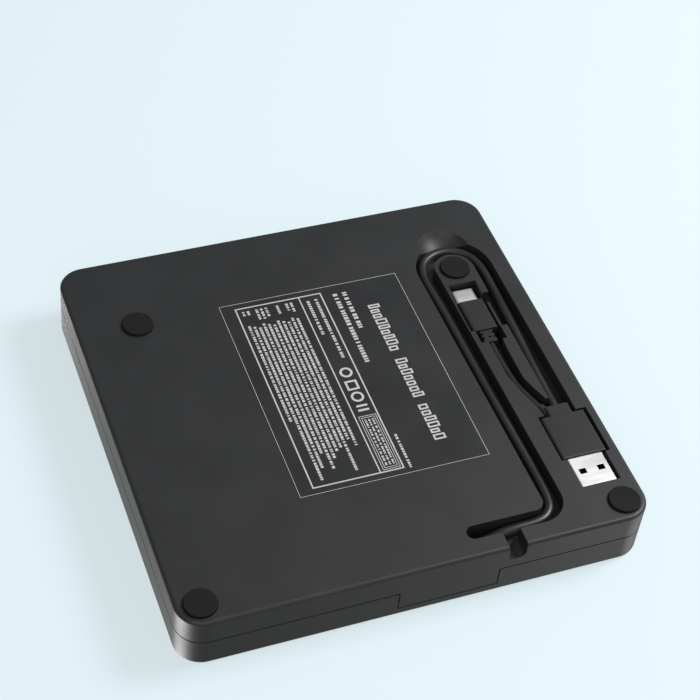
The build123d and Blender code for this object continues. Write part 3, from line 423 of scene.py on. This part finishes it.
# %% Frames and small print
FRAME_X, FRAME_Y, FRAME_LINE = (-22.6, 6.9), (-41.2, 35.9), 0.45
DIVIDER_X = (-1.0, -0.6)
FIRST_ROW, ROW_STEP = -20.3, 1.62
ROW_START, HEADING_START = -32.8, -39.4
ROW_ENDS = (9.5, 33.5, 29.5, 23.6, 31.0, 27.0, 24.0, 23.0, 33.0, 20.5, 24.0)
HEADINGS = ((-20.3, 2.4), (-18.7, 1.8), (-15.8, 4.6), (-14.2, 4.6), (-12.6, 4.4), (-8.8, 4.2),
            (-5.6, 3.6), (-4.0, 4.8))
outline((film_low.x / MM, film_high.x / MM), (film_low.y / MM, film_high.y / MM), 0.14)
outline(FRAME_X, FRAME_Y, FRAME_LINE)
stroke(DIVIDER_X, (FRAME_Y[0] + FRAME_LINE, FRAME_Y[1] - FRAME_LINE))
for row, end in enumerate(ROW_ENDS):
    indent = (row % 3) * 0.7
    dashes(FIRST_ROW + row * ROW_STEP, (ROW_START + indent, end), 0.86, (0.4, 1.1), 0.22)
for x, length in HEADINGS:
    dashes(x, (HEADING_START, HEADING_START + length), 0.86, (0.4, 1.0), 0.22)

# %% [markdown]
# The strip and the larger lines. The large line is three words of outlined boxes, one box for
# a letter, a few of them taller.

# %% Strip and larger lines
BOX_X, BOX_Y = (0.3, 6.0), (13.0, 35.0)
WORDS = ((-31.6, -8.4), (-6.6, 11.6), (13.4, 29.6))
dashes(1.6, (-38.6, -23.0), 1.0, (0.5, 1.0), 0.26)
dashes(4.4, (-38.8, -11.6), 1.0, (0.5, 1.0), 0.26)
for inset in (0.0, 0.7):
    outline((BOX_X[0] + inset, BOX_X[1] - inset), (BOX_Y[0] + inset, BOX_Y[1] - inset), 0.2)
for x in (2.0, 3.2, 4.4):
    dashes(x, (14.6, 33.4), 0.6, (0.4, 1.2), 0.26)
dashes(14.4, (-39.4, -22.6), 1.5, (0.6, 1.1), 0.36)
dashes(11.2, (-39.4, -7.6), 1.5, (0.6, 1.1), 0.36)
dashes(8.9, (22.6, 36.2), 0.8, (0.4, 1.0), 0.26)
for start, end in WORDS:
    while start < end - 1.5:
        width, rise = dice.uniform(1.6, 2.2), dice.choice((0, 0, 0.9))
        outline((19.9, 22.9 + rise), (start, start + width), 0.58)
        start += width + 0.6
print("printed", len(strokes), "strokes")

# %% [markdown]
# The marks of the strip are two plain rings, a square and two bars. A ring is a cylinder whose
# two flat faces are inset and then bridged, which opens the hole.

# %% Marks, and the print joined to one piece
def ring_mark(x, y, outer, inner):
    """Printed ring, in millimetres."""
    clear_selection()
    place = (x * MM, y * MM, (ink_z - INK_HEIGHT / 2) * MM)
    bpy.ops.mesh.primitive_cylinder_add(vertices=32, radius=outer * MM, depth=INK_HEIGHT * MM,
                                        location=place)
    ring = settle("ring")
    bpy.ops.object.mode_set(mode="EDIT")
    bpy.ops.mesh.select_mode(type="FACE")
    bpy.ops.mesh.select_all(action="DESELECT")
    bpy.ops.object.mode_set(mode="OBJECT")
    for face in ring.data.polygons:
        face.select = abs(face.normal.z) > 0.9
    bpy.ops.object.mode_set(mode="EDIT")
    bpy.ops.mesh.inset(thickness=(outer - inner) * MM)
    bpy.ops.mesh.bridge_edge_loops()
    bpy.ops.object.mode_set(mode="OBJECT")
    strokes.append(ring)


ring_mark(3.0, -5.6, 2.1, 1.35)
ring_mark(3.0, 5.0, 2.1, 1.35)
outline((1.0, 5.0), (-2.0, 2.0), 0.7)
for y in (8.4, 10.2):
    stroke((1.2, 4.8), (y, y + 0.8))
bpy.data.objects.remove(unit_dash)
place_on(join("label_print", strokes), "housing", INK)

# %% [markdown]
# ## Contacts in the plugs
# The large plug has four gold strips on the side of its tongue that faces the shell's empty
# half, the outer two longer. The small plug is hollow: two rows of fine contact springs stand
# out of its insulator towards the mouth. One strip of each kind is modelled and copied.

# %% Contacts
GOLD = finish("gold_plating", (0.83, 0.56, 0.22), 0.22, metal=1.0, shift=0.04, tone=0.002)
SAME_SIZE = (1.0, 1.0, 1.0)


def copy_row(first, moves):
    """The first strip and its copies, each moved by so many millimetres."""
    return [first] + [copy_moved(first, "strip", SAME_SIZE, move) for move in moves]


low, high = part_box("usb_a_tongue")
x, y, z = (low.x + high.x) / 2 / MM, (low.y / MM + 3.6, high.y / MM), high.z / MM - 1.8
outer_strip = slab("strip", (x - 4.0, y[0], z - 0.12), (x - 3.0, y[1] - 0.6, z + 0.1), 0.08)
inner_strip = slab("strip", (x - 1.75, y[0], z - 0.12), (x - 0.75, y[1] - 1.4, z + 0.1), 0.08)
strips = copy_row(outer_strip, [(7.0, 0, 0)]) + copy_row(inner_strip, [(2.5, 0, 0)])
place_on(join("large_plug_contacts", strips), "housing", GOLD)

low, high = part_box("usb_c_tongue")
x, y, z = (low.x + high.x) / 2 / MM - 2.25, low.y / MM, low.z / MM
spring = slab("strip", (x - 0.13, y - 3.4, z + 0.02), (x + 0.13, y + 0.3, z + 0.14), 0.03)
row_gap = (high.z - low.z) / MM - 0.16
strips = copy_row(spring, [(0.5 * k, 0, row_gap * row) for row in (0, 1) for k in range(10)][1:])
place_on(join("small_plug_contacts", strips), "housing", GOLD)

# %% [markdown]
# ## Two floors
# The drive is seen from above, standing on its feet, and from below, as if it lay on its lid.
# Each side gets its own pale floor: one at the feet that shows only from above, and one at the
# lid that shows only from below. A floor is clear from behind and to every ray that isn't the
# camera's, so it never shades the drive or shuts the light out. Part of its brightness is its
# own glow, which keeps the shadow on it faint.

# %% Floors
def floor(name, height, faces_up, colour, glow):
    """Staged floor that only the camera sees, and only from its own side."""
    bpy.ops.object.select_all(action="DESELECT")
    bpy.ops.mesh.primitive_plane_add(size=6.0, location=(0, 0, height))
    piece = bpy.context.object
    piece.name = name
    if not faces_up:
        bpy.ops.object.mode_set(mode="EDIT")
        bpy.ops.mesh.select_all(action="SELECT")
        bpy.ops.mesh.flip_normals()
        bpy.ops.object.mode_set(mode="OBJECT")
    bpy.ops.object.transform_apply(location=True, rotation=True, scale=True)
    for ray in ("diffuse", "glossy", "transmission", "shadow", "volume_scatter"):
        setattr(piece, "visible_" + ray, False)
    material = bpy.data.materials.new(name + "_paint")
    material.use_nodes = True
    tree = material.node_tree
    shader = tree.nodes["Principled BSDF"]
    shader.inputs["Base Color"].default_value = (*colour, 1.0)
    shader.inputs["Emission Color"].default_value = (*colour, 1.0)
    shader.inputs["Emission Strength"].default_value = glow
    shader.inputs["Roughness"].default_value = 0.9
    shader.inputs["Specular IOR Level"].default_value = 0.1
    clear = tree.nodes.new("ShaderNodeBsdfTransparent")
    side = tree.nodes.new("ShaderNodeNewGeometry")
    mix = tree.nodes.new("ShaderNodeMixShader")
    tree.links.new(side.outputs["Backfacing"], mix.inputs["Fac"])
    tree.links.new(shader.outputs["BSDF"], mix.inputs[1])
    tree.links.new(clear.outputs["BSDF"], mix.inputs[2])
    tree.links.new(mix.outputs["Shader"], tree.nodes["Material Output"].inputs["Surface"])
    piece.data.materials.append(material)
    return piece


floor("floor_at_feet", 0.0, True, (0.34, 0.395, 0.41), 1.25)
floor("floor_at_lid", cad_box[1].z + 0.0001, False, (0.215, 0.248, 0.258), 2.55)

# %% [markdown]
# ## Light
# Soft studio light: large panels, one strong and some weak, above and below, because the drive
# is seen from both. They stand out of line with the camera's mirror image in the underside, so
# that it stays dark. The small strip puts a gleam on the long side wall. The camera doesn't see
# the panels. The world is a pale backdrop to the camera and gives less light than it shows.

# %% Lights and world
AIM = Vector((0.0, 0.0, 0.01))


def panel(name, place, size, watts):
    """Round soft light, aimed at the middle of the drive."""
    data = bpy.data.lights.new(name, "AREA")
    data.shape = "DISK"
    data.size = size
    data.energy = watts
    lamp = bpy.data.objects.new(name, data)
    lamp.location = place
    lamp.rotation_mode = "QUATERNION"
    lamp.rotation_quaternion = (AIM - Vector(place)).to_track_quat("-Z", "Y")
    lamp.visible_camera = False
    scene.collection.objects.link(lamp)


panel("key_below", (0.62, 0.00, -0.64), 0.40, 7.4)
panel("fill_below", (-0.35, 0.75, -0.60), 0.9, 3.5)
panel("key_above", (-0.60, -0.05, 0.85), 0.5, 8.0)
panel("fill_above", (0.8, 0.45, 0.6), 0.8, 4.0)
panel("side_strip", (-0.36, -0.70, 0.58), 0.18, 0.8)
world = bpy.data.worlds.new("pale_room")
world.use_nodes = True
backdrop = world.node_tree.nodes["Background"]
backdrop.inputs["Color"].default_value = (0.84, 0.87, 0.88, 1.0)
rays = world.node_tree.nodes.new("ShaderNodeLightPath")
strength = world.node_tree.nodes.new("ShaderNodeMapRange")
strength.inputs["To Min"].default_value = 0.40
strength.inputs["To Max"].default_value = 0.85
world.node_tree.links.new(rays.outputs["Is Camera Ray"], strength.inputs["Value"])
world.node_tree.links.new(strength.outputs["Result"], backdrop.inputs["Strength"])
scene.world = world

# %% [markdown]
# ## Finish
# The view layer is brought up to date.

# %% Finish
bpy.context.view_layer.update()
